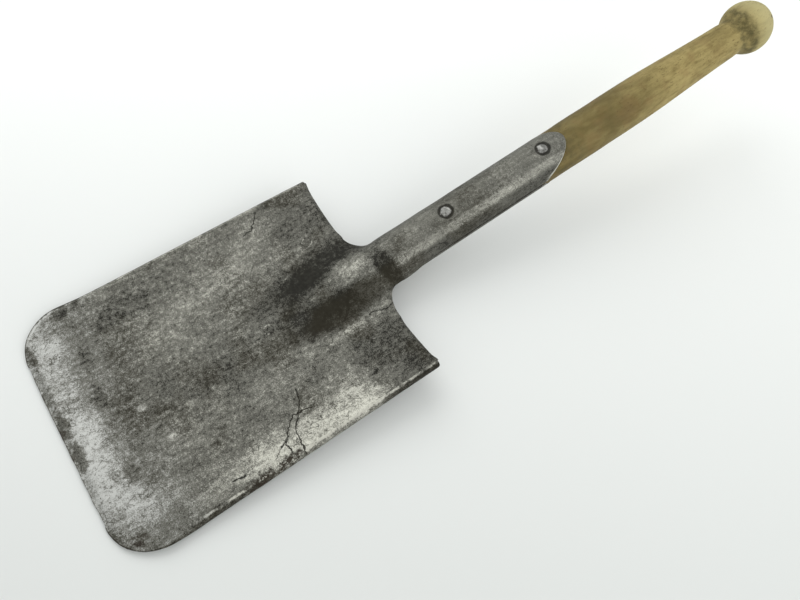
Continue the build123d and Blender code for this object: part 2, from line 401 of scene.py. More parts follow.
# Broad areas of the blade: x, y, reach along x and y, raggedness of the outline, turn, where the
# area has run out and where it is full as a share of the reach, and how much brighter it is
AREAS = {
    "middle": (92.0, 34.0, 62.0, 36.0, 0.9, 0.0, 1.2, 0.2, 0.08),
    "low_light": (26.0, -34.0, 34.0, 30.0, 0.8, 0.0, 1.2, 0.3, 0.06),
    "belt": (92.0, -6.0, 66.0, 20.0, 0.8, -0.06, 1.25, 0.3, -0.07),
    "frog_tip": (150.0, -4.0, 28.0, 20.0, 0.8, 0.0, 1.25, 0.35, -0.33),
    # the frog's near flank: dark patina, deepened with painted shade
    "near_flank_patina_and_shade": (164.0, -14.0, 34.0, 9.0, 0.4, 0.0, 1.3, 0.5, -0.20),
    "far_flank": (163.0, 19.0, 44.0, 10.0, 0.8, 0.12, 1.5, 0.3, -0.46),
    # the frog's crest: polished, and painted brighter as a highlight
    "crest": (166.0, 2.0, 28.0, 7.5, 0.7, 0.0, 1.25, 0.35, 0.32),
    # the neck's saddle: painted shade in the crease across the neck
    "neck_crease_shade": (196.0, -8.0, 6.0, 15.0, 0.5, 0.35, 1.3, 0.4, -0.38),
}

# Smaller light and dark places: x, y, reach along x and y, and how much brighter
WEAR = [
    (16, 54, 11, 10, 0.20), (14, 2, 12, 12, 0.22), (9, -20, 9, 12, 0.20), (8, -37, 9, 9, 0.20),
    (20, -54, 20, 16, 0.24), (25, 13, 5, 9, -0.26), (28, 40, 4, 9, -0.22), (22, -33, 4, 6, -0.22),
    (14, -29, 3, 6, -0.22), (36, 72, 7, 4, -0.22), (27, 71, 6, 3, -0.24), (81, -8, 20, 7, -0.12),
    (63, 57, 16, 9, -0.18), (46, 54, 11, 9, -0.16), (72, 29, 13, 8, 0.10), (92, 38, 16, 8, 0.12),
    (118, 42, 20, 9, 0.12), (41, -3, 3.0, 2.4, 0.34), (48, -26, 3.2, 2.4, 0.30),
    (4, 53, 3.4, 8, -0.42), (4, 8, 3.6, 10, -0.40), (4, -11, 3.4, 11, -0.42), (3, 30, 3, 9, -0.24),
    (136, -52, 12, 10, 0.10), (129, -38, 9, 6, -0.12), (150, -58, 9, 5, -0.16),
    (105, -32, 16, 8, 0.10), (63, -66, 30, 6, 0.16), (150, 60, 20, 8, 0.14),
    (58, -58, 26, 8, 0.10), (135, 52, 16, 8, 0.08),
]

# Rust by the near side: x, y, reach along x and y, raggedness, where it has run out and is full
RUST = [(74.0, -74.0, 10.0, 3.6, 3.4, 1.05, 0.3), (92.0, -72.5, 12.0, 3.2, 3.8, 0.95, 0.2),
        (12.0, -66.0, 6.0, 4.0, 3.0, 0.9, 0.1)]

# Cracks and scratches, as line segments in plan
CRACKS = [((114, -40), (109, -52)), ((109, -52), (98, -58)), ((98, -58), (94, -64)),
          ((94, -64), (95, -73)), ((109, -52), (103, -61)), ((103, -61), (101, -74)),
          ((116, -54), (108, -53)), ((98, -60), (88, -67)), ((151, 70), (147, 63)),
          ((147, 63), (137, 60)), ((63, -66), (71, -66)), ((189, -27), (172, -25))]

HEAD_LEAD = 1.3               # the socket rivets' heads lean this far towards the blade, in plan


class Steel(Paint):
    """Old bare steel: mottled grey, rubbed bright at the edges, dark round the frog, with painted
    highlights and shade on the frog, the neck, the strap and the rolled sides.
    """

    def __init__(self):
        super().__init__("worn_steel")
        x, y = self.x, self.y
        lengthwise = self.mapping(self.here, scale=(0.22, 1.0, 1.0))
        self.broad = self.swing(34.0, 3.0, 0.5, seed=1.3)
        self.patch = self.swing(11.0, 4.0, 0.6, seed=4.1)
        self.grain = self.swing(2.4, 4.0, 0.7, seed=7.7)
        self.speck = self.swing(0.55, 2.0, 0.6, seed=9.2)
        self.drawn = self.swing(2.2, 4.0, 0.65, seed=2.4, vector=lengthwise)
        self.sway = self.broad * 26.0 + self.patch * 16.0
        self.edge = (x + self.sway).smooth(31.0, 10.0) * y.smooth(-66.0, -40.0)
        self.on_strap = x.smooth(196.0, 214.0)
        self.areas = {}
        for name, (at_x, at_y, reach_x, reach_y, ragged, turn, out, full, _) in AREAS.items():
            spot = self.spot(at_x, at_y, reach_x, reach_y, self.patch * ragged, turn)
            self.areas[name] = spot.smooth(out, full)

        # distance in from the blade's outline, a little ragged
        past_corner = (CORNER_RADIUS - x).most(0.0)
        past_side = y.abs() + x * EDGE_SLOPE - (CUTTING_WIDTH / 2.0 - CORNER_RADIUS)
        past_side = past_side.most(0.0)
        from_centre = (past_corner * past_corner + past_side * past_side).power(0.5)
        self.gap = CORNER_RADIUS - from_centre + self.grain * 0.9
        # painted shade in a thin band just inside the blade's outline
        shaded_skirt = self.gap.smooth(1.7, 1.2) * x.smooth(20.0, 40.0)
        self.shaded_skirt = shaded_skirt.most(self.gap.smooth(1.0, 0.5))

    def bands(self):
        """Brightness of the bands along the sides, across the shoulders and on the strap: patina,
        polish and painted sheen, highlights and shade.
        """
        x, y, sway, patch = self.x, self.y, self.sway, self.patch
        near_side = (y * -1.0 + sway * 0.5).smooth(46.0, 66.0)
        # near strip: polished, and painted brighter as a sheen
        near_strip = near_side * (x + sway).window(92.0, 142.0, 34.0)
        far_strip = (y + sway * 0.5).smooth(60.0, 74.0) * x.window(10.0, 170.0, 20.0)
        shoulder = (x + sway * 0.6).window(160.0, 190.0, 16.0)
        near_shoulder = shoulder * y.smooth(-22.0, -36.0)
        far_shoulder = shoulder * y.smooth(30.0, 44.0)
        # painted highlight along the foot of the frog's near flank
        foot_plan = self.join(x, y + patch * 4.0, 0.0)
        near_foot_highlight = self.line((146.0, -27.0), (186.0, -24.0), foot_plan).smooth(4.0, 0.6)
        # on the strap: a painted highlight along its near side, painted shade along its underside
        # and on its far side
        strap_highlight = (y + patch * 2.4).window(-10.2, -8.0, 1.8) * x.window(210.0, 318.0, 14.0)
        under = (y + patch * 1.6).smooth(-10.6, -12.8) * self.on_strap
        back = (y + patch * 2.0).smooth(8.0, 12.6) * self.on_strap
        blade = self.edge * 0.30 + near_strip * 0.43 + far_strip * 0.04
        blade = blade - near_shoulder * 0.20 - far_shoulder * 0.10 + near_foot_highlight * 0.16
        return blade + self.on_strap * 0.03 + strap_highlight * 0.18 - under * 0.17 - back * 0.12

    def rolled_sides(self):
        """Brightness of the rolled sides: a painted highlight along the crest, painted shade below
        it and along the outline.
        """
        scuff = self.noise(5.5, 3.0, 0.6, seed=37.0).smooth(0.34, 0.56)
        near_crest_highlight = self.gap.window(2.0, 2.7, 0.4) * self.y.smooth(-58.0, -68.0)
        near_crest_highlight = near_crest_highlight * self.x.smooth(34.0, 52.0)
        far_crest_highlight = self.gap.window(1.2, 1.9, 0.4) * self.y.smooth(60.0, 68.0) * 0.6
        return near_crest_highlight.most(far_crest_highlight) * scuff * 0.60 - self.shaded_skirt * 0.24

    def wear_and_shading(self):
        """How bare and bright the face is, from about 0 (dark patina) to 1 (bare and bright),
        painted highlights and shade included.
        """
        wear_and_shade = 0.40 + self.patch * 0.30 + self.broad * 0.30 + self.bands() + self.rolled_sides()
        for name, area in self.areas.items():
            wear_and_shade = wear_and_shade + area * AREAS[name][-1]
        ragged = self.patch * 2.0 + self.grain * 1.1
        for x, y, reach_x, reach_y, amount in WEAR:
            wear_and_shade = wear_and_shade + self.spot(x, y, reach_x, reach_y, ragged).smooth(1.15, 0.35) * amount
        lively = 1.0 - self.on_strap * 0.40
        lively = lively - self.areas["near_flank_patina_and_shade"] * 0.3 - self.areas["far_flank"] * 0.3
        mottle = self.grain * 1.15 + self.drawn * 0.75 + self.speck * 1.35
        return wear_and_shade + mottle * lively

    def pits(self):
        """Small dark marks: crumbs everywhere, lumps in clusters and a web of hairlines."""
        crumbs = self.noise(1.7, 2.0, 0.6, seed=14.0, distortion=0.6).smooth(0.615, 0.70)
        lumps = self.noise(4.2, 3.0, 0.65, seed=16.0, distortion=0.8).smooth(0.64, 0.72)
        cluster = self.noise(15.0, 3.0, 0.6, seed=12.0) + self.edge * 0.06
        rough = self.grain + 0.5
        shake = self.scaled(self.join(rough, self.patch + 0.5, rough), 3.5)
        shaken = self.vector("ADD", self.here, shake)
        web = self.cell_edges(4.6, shaken).smooth(0.055, 0.012)
        web = web * self.noise(6.0, 2.0, 0.5, seed=18.0).smooth(0.50, 0.62)
        pit = (crumbs * 0.55).most(lumps * cluster.smooth(0.50, 0.60) * 0.8)
        return pit.most(web * 0.5)

    def rust(self):
        """Dark rust by the near side and in notches along the cutting edge."""
        notch = self.noise(8.5, 2.0, 0.5, seed=21.0).smooth(0.50, 0.62)
        rust = (self.x + self.grain * 4.0 + self.patch * 6.0).smooth(6.0, 1.5) * notch * 0.7
        for x, y, reach_x, reach_y, ragged, out, full in RUST:
            spot = self.spot(x, y, reach_x, reach_y, self.grain * ragged)
            rust = rust.most(spot.smooth(out, full))
        lace = self.noise(1.8, 3.0, 0.7, seed=39.0).smooth(0.40, 0.54)
        return rust * (0.25 + lace * 0.75)

    def cracks(self):
        """Cracks and scratches, broken up along their length."""
        aside = self.swing(7.0, 3.0, 0.6, seed=30.0)
        swerve = self.scaled(self.join(self.patch, aside, 0.0), 9.0)
        flat = self.vector("ADD", self.join(self.x, self.y, 0.0), swerve)
        crack = reduce(Wire.most, [self.line(a, b, flat).smooth(0.55, 0.15) for a, b in CRACKS])
        return crack * self.noise(5.0, 2.0, 0.5, seed=33.0).smooth(0.30, 0.48)

    def rivet_rings(self):
        """Faint rings round the flush rivets."""
        bands = []
        for x, y in FROG_RIVETS.values():
            spot = self.spot(x, y, FROG_HEAD + 0.25, FROG_HEAD + 0.25, self.grain * 0.5)
            bands.append(spot.window(0.93, 1.05, 0.14))
        return reduce(Wire.most, bands)

    def dimple_shade(self):
        """Painted shade in the dimples round the socket rivets' heads."""
        bands = []
        for station in SOCKET_RIVETS.values():
            spot = self.spot(station - HEAD_LEAD, 0.0, DIMPLE_RADIUS, DIMPLE_RADIUS)
            bands.append((spot + self.grain * 0.25).window(0.64, 0.84, 0.16))
        return reduce(Wire.most, bands)

    def tongue_rim_highlight(self):
        """The tongue's rubbed rim, painted bright as a highlight."""
        rim = self.spot(TONGUE_TIP - TONGUE_LENGTH - 1.2, 0.0, TONGUE_LENGTH, TONGUE_SIDE)
        return rim.window(0.965, 1.05, 0.02) * self.x.smooth(304.0, 316.0)

    def paint(self):
        """Colour, roughness and bump from how bare the face is, its painted highlights and shade,
        and its marks.
        """
        pit, rust, crack, ring = self.pits(), self.rust(), self.cracks(), self.rivet_rings()
        broken = self.noise(3.4, 2.0, 0.6, seed=35.0)
        dark_ring = ring * broken.smooth(0.40, 0.58) * 0.55
        bright_ring = ring * broken.smooth(0.50, 0.38) * 0.40
        # dark marks, with painted shade in the socket rivets' dimples
        dirt_and_shade = pit.most(rust).most(crack).most(dark_ring).most(self.dimple_shade() * 0.9)
        wear_and_shade = self.wear_and_shading() + self.tongue_rim_highlight() * 0.75 + bright_ring
        wear_and_shade = (wear_and_shade * (dirt_and_shade * 0.85).flip()).kept()

        night = self.mix(self.grain.smooth(-0.15, 0.15),
                         colour(0.016, 0.015, 0.012), colour(0.034, 0.033, 0.027))
        grey = self.mix(wear_and_shade.smooth(-0.05, 0.42), night, colour(0.147, 0.145, 0.126))
        bright = self.mix(self.x.smooth(60.0, 26.0),
                          colour(0.56, 0.555, 0.49), colour(0.53, 0.535, 0.515))
        steel = self.mix(wear_and_shade.smooth(0.36, 1.14), grey, bright)
        stain = self.noise(23.0, 2.0, 0.5, seed=41.0).smooth(0.46, 0.66)
        stain = stain * (self.areas["far_flank"] * 0.8).flip()
        # brown tint: stains, the near flank's patina and painted shade, and painted shade in the
        # band along the outline
        tint = stain * 0.5 + self.areas["near_flank_patina_and_shade"] * 0.5 + self.shaded_skirt * 0.3
        tint = (tint * wear_and_shade.smooth(0.62, 0.25)).least(0.55)
        steel = self.mix(tint, steel, colour(0.032, 0.027, 0.015))
        steel = self.mix(rust * 0.55, steel, colour(0.050, 0.036, 0.026))

        rough = 0.70 - wear_and_shade * 0.20 + self.grain * 0.14 + dirt_and_shade * 0.12
        height = self.grain * 0.5 + self.speck * 0.35 + self.patch * 0.5 + self.drawn * 0.3
        height = height - pit * 0.9 - rust * 0.5 - crack * 1.6 - ring * 0.8
        return self.finish(steel, rough.least(0.95).most(0.25), self.bump(height, 0.10), 0.80)


def rivet_material():
    """Peened rivet steel: patches on the faceted head rubbed bright and painted brighter as
    highlights, painted shade round the edge of a head.
    """
    p = Paint("rivet_steel")
    patch = p.swing(2.6, 3.0, 0.6, seed=3.0)
    grain = p.swing(0.6, 3.0, 0.7, seed=5.0)
    # painted shade round the edge of each head
    heads = [p.spot(station - HEAD_LEAD, 0.0, SOCKET_HEAD, SOCKET_HEAD).smooth(0.72, 0.98)
             for station in SOCKET_RIVETS.values()]
    edge = reduce(Wire.least, heads)
    wear_and_shade = (0.60 + patch * 2.2 + grain - edge * 0.6).kept()
    steel = p.mix(wear_and_shade, colour(0.035, 0.033, 0.028), colour(0.50, 0.50, 0.475))
    height = patch * 0.8 + grain * 0.4
    return p.finish(steel, 0.55 - wear_and_shade * 0.22, p.bump(height, 0.12), 0.9)


# ---- wood

KNOB_MARK = (497.5, -8.5, 11.0)    # a small dark mark on the knob, in the handle's own frame


def wood_material():
    """Bare weathered wood, turned: rings cut lengthwise, short dark pores, hand grime."""
    p = Paint("bare_wood")
    # the handle's own frame: a along the handle, b across it, c up out of it
    from_neck = p.mapping(p.here, location=(-NECK, 0.0, AXIS_DROP))
    a, b, c = p.split(p.mapping(from_neck, turn=AXIS_ANGLE))
    a = a + NECK

    def along(stretch):
        """The handle's own place, with what is drawn there stretched along the handle."""
        return p.join(a * stretch, b, c)

    # year rings about a pith that lies outside the handle
    bend = p.swing(60.0, 2.0, 0.5, seed=2.0, vector=along(0.35))
    deep = p.swing(9.0, 3.0, 0.6, seed=3.0, vector=along(0.10))
    from_pith_b = b + 23.0 + bend * 26.0
    from_pith_c = c + 31.0 + deep * 3.0 + a * 0.035
    rings = (from_pith_b * from_pith_b + from_pith_c * from_pith_c).power(0.5) / 2.7
    ring = rings.fraction()
    late = ring.smooth(0.35, 0.92) * ring.smooth(1.0, 0.93)
    fibre = p.swing(1.1, 4.0, 0.7, seed=6.0, vector=along(0.045))
    fleck = p.noise(0.8, 2.0, 0.6, seed=8.0, vector=along(0.34)).smooth(0.58, 0.70)
    fleck = fleck * p.noise(12.0, 2.0, 0.5, seed=9.0).smooth(0.36, 0.56)
    blotch = p.noise(17.0, 3.0, 0.6, seed=11.0, vector=along(0.45)).smooth(0.40, 0.66)
    cloud = p.swing(6.0, 4.0, 0.65, seed=13.0, vector=along(0.5))
    mottle = p.swing(2.6, 4.0, 0.7, seed=23.0, vector=along(0.30))

    # dirt from hands, in the waist and beside the tongue
    hand = a.smooth(430.0, 335.0)
    stain = p.noise(9.0, 3.0, 0.6, seed=15.0).smooth(0.47, 0.66)
    waist = (a + cloud * 9.0).window(474.5, 480.5, 4.5) * (b * -0.5 + c * 0.5).smooth(-14.0, 6.0)
    grime = waist * p.noise(4.0, 4.0, 0.7, seed=17.0).smooth(0.22, 0.74)
    collar = a.smooth(345.0, 333.0) * p.noise(4.0, 3.0, 0.6, seed=19.0).smooth(0.40, 0.62)
    mark = p.vector("DISTANCE", p.join(a, b, c), KNOB_MARK, output=1).smooth(1.5, 0.7)
    ruddy = p.noise(13.0, 3.0, 0.6, seed=25.0).smooth(0.48, 0.66) * a.smooth(470.0, 440.0)

    tone = late * 0.12 + fibre * 0.7 + cloud * 1.9 + mottle * 2.2 + 0.20
    wood = p.mix(tone.most(0.0).least(1.0),
                 colour(0.375, 0.300, 0.118), colour(0.175, 0.130, 0.042))
    layers = [((blotch * 0.34 + hand * 0.66).least(0.9), colour(0.092, 0.068, 0.018)),
              (a.smooth(476.0, 492.0) * 0.60, colour(0.50, 0.455, 0.235)),
              (ruddy * 0.30, colour(0.20, 0.115, 0.042)),
              (fleck * 0.70, colour(0.10, 0.060, 0.022)),
              (stain * hand * 0.30, colour(0.11, 0.085, 0.035)),
              ((grime * 1.05 + collar * 0.40).least(0.85), colour(0.072, 0.062, 0.022)),
              (mark * 0.8, colour(0.05, 0.035, 0.015))]
    for amount, layer in layers:
        wood = p.mix(amount, wood, layer)

    rough = 0.70 + cloud * 0.22 + fleck * 0.1 - hand * 0.08
    height = fibre * 0.9 + cloud * 0.5 - fleck * 0.7 + late * 0.18 - mark * 2.0
    return p.finish(wood, rough, p.bump(height, 0.16), 0.0, **{"Specular IOR Level": 0.22})


steel = Steel().paint()
rivet_steel = rivet_material()
bare_wood = wood_material()


# ---- blade and front strap

INNER = 22                    # columns from the middle to the side of the strap
OUTER = 24                    # columns from there to the side crest
SIDE = INNER + OUTER
ROLL = 8                      # columns or rows round a rolled edge
ROLL_ARC = ROLL - 2           # those of them that bend; the rest run straight on
CORNER_ROWS = 14
BODY_ROWS = 84
LAST_ROW = CORNER_ROWS + BODY_ROWS
NECK_ROWS = 10
STRAP_ROWS = 104

ROLL_RADIUS = 2.7             # rolled edge where it is full, and where it has run out
ROLL_LEG = 2.2
ROLL_ANGLE = radians(100.0)
ROLL_START = 14.0             # the roll of the sides grows from here, over this length
ROLL_GROWTH = 34.0
FADED_RADIUS = 0.6
FADED_ANGLE = radians(35.0)
FADED_LEG = 0.1
HEM_LEG = 2.8                 # the shoulders' edge is folded right under
HEM_ANGLE = radians(168.0)
HEM_GROWTH = 9.0              # length in which the fold grows out of the neck's fillet
HEM_END = 6.0                 # length in which it runs out at the corner
ROLLED_WEIGHT = 0.72          # the sheet's share of its thickness in a rolled edge
BEVEL_RUN = 5.0               # length of the worn bevel behind the cutting edge
BEVEL_DEPTH = 0.9
SAG_START = 110.0             # the rows lean towards the hollow shoulders from here on

FILLET_SIDE = STRAP_OUTER + NECK_FILLET
NEAR_FILLET_SIDE = 33.5       # the hand-worked neck spreads further on the near side
NEAR_FLARE = 2.7              # spread of the strap's edge at the neck, on the near side
FAR_FLARE = 0.4
FLARE_END = 233.0
FLARE_RUN = 30.0
ROUNDING_RUN = 17.0           # length in which the flat neck turns into the round socket


def sign_of(column):
    return 1 if column >= 0 else -1


def shoulder_line(y):
    """x of the blade's shoulder at y: slightly hollow between the corner and the neck."""
    corner = SHOULDER_WIDTH / 2.0
    across = min(max((abs(y) - STRAP_OUTER) / (corner - STRAP_OUTER), 0.0), 1.0)
    return BLADE_LENGTH - 4.0 * SHOULDER_SAG * across * (1.0 - across)


NECK_START = shoulder_line(FILLET_SIDE)
NECK_END = NECK_START + NECK_FILLET


def fillet_side(sign):
    """Where the neck's fillet leaves the shoulder, from the middle."""
    return FILLET_SIDE if sign > 0 else NEAR_FILLET_SIDE


def flare(station, sign):
    """Spread of the front strap's edge beyond its round section, towards the neck."""
    return (FAR_FLARE if sign > 0 else NEAR_FLARE) * ease((FLARE_END - station) / FLARE_RUN)


def side_roll(x):
    """How far the blade's side is rolled down at x, from 0 to 1."""
    return ease((x - ROLL_START) / ROLL_GROWTH)


def roll_offset(amount, q, full_angle, leg):
    """Outward and downward offset at step q of a rolled edge."""
    radius = FADED_RADIUS + (ROLL_RADIUS - FADED_RADIUS) * amount
    last = FADED_ANGLE + (full_angle - FADED_ANGLE) * amount
    if q <= ROLL_ARC:
        angle = last * q / ROLL_ARC
        return radius * sin(angle), radius * (1.0 - cos(angle))
    past = q - ROLL_ARC
    extra = leg * amount * past / (ROLL - ROLL_ARC) + FADED_LEG * past
    return (radius * sin(last) + extra * cos(last),
            radius * (1.0 - cos(last)) + extra * sin(last))


def crest_inset(amount):
    """How far inside the outline the crest of a rolled edge lies."""
    last = FADED_ANGLE + (ROLL_ANGLE - FADED_ANGLE) * amount
    return (FADED_RADIUS + (ROLL_RADIUS - FADED_RADIUS) * amount) * sin(min(pi / 2.0, last))


def hem_at(y, sign):
    """How far the shoulder is rolled down at y: not at the neck, nor at the very corner."""
    corner = SHOULDER_WIDTH / 2.0 - crest_inset(1.0)
    return ease((abs(y) - fillet_side(sign)) / HEM_GROWTH) * ease((corner - abs(y)) / HEM_END)


def blade_rows():
    """x of the blade's rows, close together round the cutting corners."""
    rows = [CORNER_RADIUS * (1.0 - cos(pi / 2.0 * j / CORNER_ROWS)) for j in range(CORNER_ROWS)]
    step = (BLADE_LENGTH - CORNER_RADIUS) / BODY_ROWS
    return rows + [CORNER_RADIUS + step * j for j in range(BODY_ROWS + 1)]


def outline_at(x):
    """Half-width of the blade's outline at x, and its outward direction there."""
    if x >= CORNER_RADIUS:
        return half_width(x), (0.0, 1.0)
    back = (CORNER_RADIUS - x) / CORNER_RADIUS
    side = sqrt(max(0.0, 1.0 - back * back))
    return half_width(CORNER_RADIUS) - CORNER_RADIUS * (1.0 - side), (-back, side)


def across(column):
    """Signed share of the half-width for a column; those of the roll share the crest's."""
    k = min(abs(column), SIDE)
    neck_share = fillet_side(sign_of(column)) / (SHOULDER_WIDTH / 2.0)
    if k <= INNER:
        part = neck_share * k / INNER
    else:
        part = neck_share + (1.0 - neck_share) * (k - INNER) / OUTER
    return part * sign_of(column)


def on_strap(x, angle, radius):
    """Point of the socket at station x of the handle's axis and an angle from its top."""
    return on_axis(x, radius * sin(angle), radius * cos(angle))


def rivet_well(x, angle):
    """Depth of the dimples round the socket rivets at a station and angle."""
    depth = 0.0
    for centre in SOCKET_RIVETS.values():
        distance = sqrt((x - centre) ** 2 + (STRAP_OUTER * sin(angle)) ** 2)
        depth += DIMPLE_DEPTH * ease((DIMPLE_RADIUS + 0.4 - distance) / 1.9)
        depth -= 0.16 * bell((distance - DIMPLE_RADIUS - 0.9) / 1.6)
    return depth


class Grid:
    """Mesh grid under construction, whose points are found again by their keys."""

    def __init__(self):
        self.points = []
        self.thickness = []
        self.index = {}
        self.faces = []

    def add(self, key, point, thickness):
        self.index[key] = len(self.points)
        self.points.append(point)
        self.thickness.append(thickness)

    def quad(self, *keys):
        self.faces.append([self.index[key] for key in keys])


def blade_point(column, x_row):
    """Point of the blade or its rolled side, and its share of the sheet's thickness."""
    sign = sign_of(column)
    part = across(column)
    outline, out = outline_at(x_row)
    amount = side_roll(x_row)
    inset = crest_inset(amount)
    y = part * (outline - inset * out[1])
    x = x_row - inset * out[0] * abs(part) ** 6
    if abs(column) > INNER:
        hem = ease((abs(y) - fillet_side(sign)) / 3.0)
        end = shoulder_line(part * SHOULDER_WIDTH / 2.0) - crest_inset(hem_at(y, sign)) * hem
    else:
        end = NECK_START
    x += (end - BLADE_LENGTH) * ease((x_row - SAG_START) / (BLADE_LENGTH - SAG_START))

    bevel = 1.0 - ease(x_row / BEVEL_RUN)
    z = digging_face(x, y) - BEVEL_DEPTH * bevel
    p = np.array((x, y, z))
    lift = beaten(p) * ease((x_row + 4.0) / 20.0) - dented(x, y)
    q = abs(column) - SIDE
    if q > 0:
        outward, down = roll_offset(amount, q, ROLL_ANGLE, ROLL_LEG)
        ripple = 1.0 + 0.12 * wobble((x, sign * 40.0, 0.0), 14.0, 6.0)
        p = p + np.array((out[0] * outward, sign * out[1] * outward, -down * ripple))
    nick = 0.35 * wobble((0.0, y, 0.0), 9.0, 2.2) + 0.2 * wobble((0.0, y, 4.0), 3.2, 1.7)
    p = p + np.array(((nick + 0.35) * bevel, 0.0, lift))
    return p, (1.0 - 0.5 * bevel) * (ROLLED_WEIGHT if q > 0 else 1.0)


def hem_point(base, sign, q):
    """Point at step q of a shoulder's folded edge, from the blade's last point there."""
    outward, down = roll_offset(hem_at(base[1], sign), q, HEM_ANGLE, HEM_LEG)
    small = ease((abs(base[1]) - fillet_side(sign)) / 3.0)
    ripple = 1.0 + 0.10 * wobble((0.0, base[1], 9.0), 11.0, 4.0)
    return base + np.array((outward * small, 0.0, -down * ripple * small))


def neck_place(j, u, sign):
    """Station, and y on the flat, of row j of the neck at share u of its half-width."""
    x = NECK_START + NECK_FILLET * (1.0 - cos(pi / 2.0 * j / NECK_ROWS))
    left = 1.0 - (x - NECK_START) / NECK_FILLET
    bow = fillet_side(sign) - (STRAP_OUTER + flare(NECK_END, sign))
    return x, u * (fillet_side(sign) - bow * sqrt(max(0.0, 1.0 - left ** 2)))


def strap_place(j, u):
    """Station, and y on the flat, of row j of the strap; the rows end on the tongue's outline."""
    reach = sqrt(1.0 - (STRAP_OUTER * sin(u * STRAP_EDGE) / TONGUE_SIDE) ** 2)
    end = TONGUE_TIP - TONGUE_LENGTH + TONGUE_LENGTH * reach
    return NECK_END + (end - NECK_END) * j / STRAP_ROWS, STRAP_OUTER * u


def strap_point(column, row):
    """Point of the neck and the front strap: the flat blade turning into the round socket."""
    u = column / INNER
    sign = sign_of(column)
    if row <= NECK_ROWS:
        station, flat_y = neck_place(row, u, sign)
    else:
        station, flat_y = strap_place(row - NECK_ROWS, u)
    angle = u * STRAP_EDGE
    wave = 0.13 * wobble((station, angle * 14.0, 0.0), 15.0, 9.0)
    radius = STRAP_OUTER - rivet_well(station, angle) + wave - 0.1
    round_part = np.array(on_strap(station, angle, radius))
    round_part[1] += sign * flare(station, sign) * u * u
    flat_part = np.array((station, flat_y, digging_face(station, flat_y)))
    flat_part[2] += beaten(flat_part)
    settle = ease((station - NECK_START) / ROUNDING_RUN)
    return flat_part * (1.0 - settle) + round_part * settle


def fill_grid(grid):
    """Points of the blade with its rolled sides ("b"), its hem ("h") and the strap ("s")."""
    for j, x_row in enumerate(blade_rows()):
        for c in range(-SIDE - ROLL, SIDE + ROLL + 1):
            grid.add(("b", c, j), *blade_point(c, x_row))
    shoulders = list(range(-SIDE, -INNER + 1)) + list(range(INNER, SIDE + 1))
    for q in range(1, ROLL + 1):
        for c in shoulders:
            base = grid.points[grid.index["b", c, LAST_ROW]]
            grid.add(("h", c, q), hem_point(base, sign_of(c), q), ROLLED_WEIGHT)
    for j in range(1, NECK_ROWS + STRAP_ROWS + 1):
        for c in range(-INNER, INNER + 1):
            grid.add(("s", c, j), strap_point(c, j), 1.0)


def join_grid(grid):
    """Faces over the points of the blade, its rolled edges and the strap."""
    last = LAST_ROW
    for j in range(last):
        for c in range(-SIDE - ROLL, SIDE + ROLL):
            grid.quad(("b", c, j), ("b", c, j + 1), ("b", c + 1, j + 1), ("b", c + 1, j))
    for c in list(range(-SIDE, -INNER)) + list(range(INNER, SIDE)):
        grid.quad(("b", c, last), ("h", c, 1), ("h", c + 1, 1), ("b", c + 1, last))
        for q in range(1, ROLL):
            grid.quad(("h", c, q), ("h", c, q + 1), ("h", c + 1, q + 1), ("h", c + 1, q))
    for c in range(-INNER, INNER):
        grid.quad(("b", c, last), ("s", c, 1), ("s", c + 1, 1), ("b", c + 1, last))
        for j in range(1, NECK_ROWS + STRAP_ROWS):
            grid.quad(("s", c, j), ("s", c, j + 1), ("s", c + 1, j + 1), ("s", c + 1, j))


def blade_sheet():
    """One sheet for the blade, its rolled edges, the neck and the front strap."""
    grid = Grid()
    fill_grid(grid)
    join_grid(grid)
    piece = mesh_piece("blade_sheet", grid.points, grid.faces, steel, "blade")
    group = piece.vertex_groups.new(name="thickness")
    for weight in sorted(set(grid.thickness)):
        members = [i for i, w in enumerate(grid.thickness) if w == weight]
        group.add(members, weight, "REPLACE")
    solid = piece.modifiers.new("thickness", "SOLIDIFY")
    solid.thickness = SHEET * MM
    solid.offset = -1.0
    solid.vertex_group = group.name
    smooth = piece.modifiers.new("smooth", "SUBSURF")
    smooth.levels = 1
    smooth.render_levels = 1


blade_sheet()


# ---- turned and hammered pieces

def lathe(stations, segments, place):
    """Points and faces of a row of rings, closed at both ends; place(station, angle) is a point."""
    points = [place(s, 2.0 * pi * k / segments) for s in stations for k in range(segments)]
    around = [(k, (k + 1) % segments) for k in range(segments)]
    faces = []
    for low in range(0, len(points) - segments, segments):
        high = low + segments
        faces += [[high + k, high + n, low + n, low + k] for k, n in around]
    start, end = points[:segments], points[-segments:]
    faces += [[k, n, len(points)] for k, n in around]
    faces += [[high + n, high + k, len(points) + 1] for k, n in around]
    return points + [np.mean(start, axis=0), np.mean(end, axis=0)], faces


def hermite(t, start, end, start_slope, end_slope):
    """Smooth curve from start to end with the given slopes, as t runs from 0 to 1."""
    return ((2 * t ** 3 - 3 * t ** 2 + 1) * start + (3 * t ** 2 - 2 * t ** 3) * end
            + (t ** 3 - 2 * t ** 2 + t) * start_slope + (t ** 3 - t ** 2) * end_slope)


